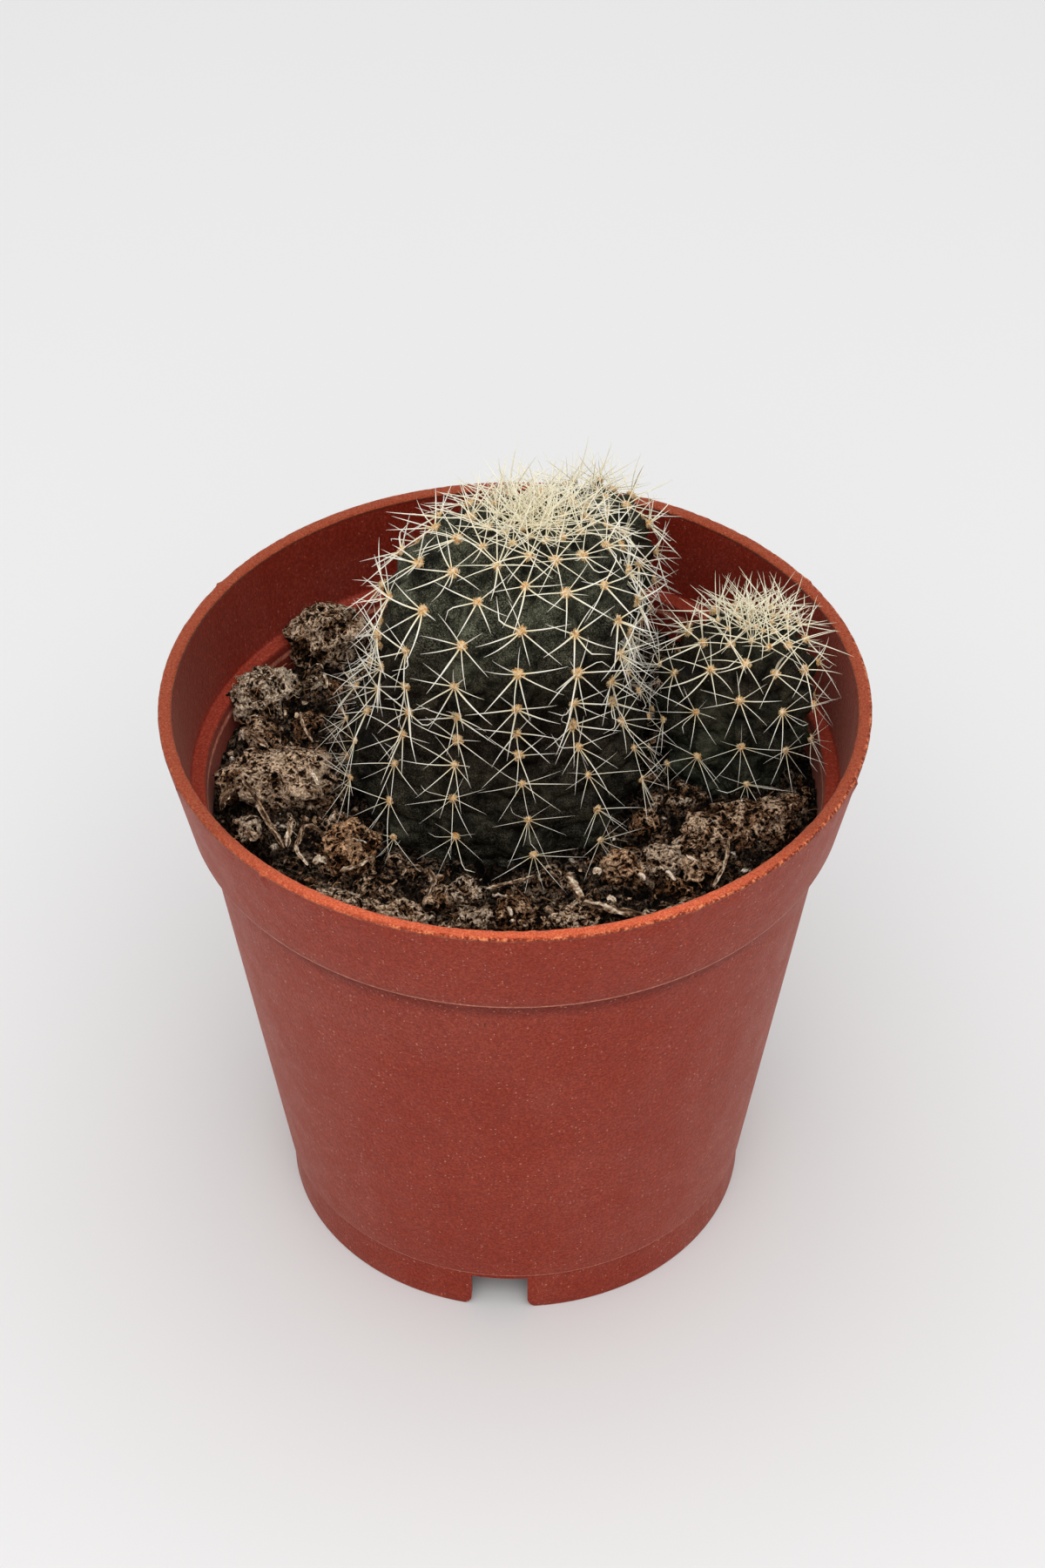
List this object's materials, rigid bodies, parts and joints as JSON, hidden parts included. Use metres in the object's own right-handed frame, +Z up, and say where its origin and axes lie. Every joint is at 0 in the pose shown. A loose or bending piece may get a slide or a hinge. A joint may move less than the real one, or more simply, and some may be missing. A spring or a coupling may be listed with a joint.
{
  "type": "potted round cactus",
  "caption": "Globular spined cactus with side offsets, growing in potting mix in a tapered round nursery pot with a wide collar.",
  "frame": {"origin": "centre of the pot's foot, on the surface that the pot stands on", "axes": "+Z up along the pot's axis; -Y towards the picture's viewer, where a foot notch is; +X to that viewer's right, where the larger offset stands"},
  "size_m": [0.085, 0.085, 0.109],
  "materials": {
    "pot": "matte",
    "soil": "matte",
    "cactus": "matte",
    "bark": "matte"
  },
  "bodies": {
    "root": {"pot": "pot", "soil": "soil", "cactus_main_stem": "cactus", "cactus_right_offset": "cactus", "cactus_rear_offset": "cactus", "bark_strand_left": "bark", "twig_left": "bark", "twig_rear_left": "bark", "bark_strip_front": "bark"}
  },
  "joints": []
}
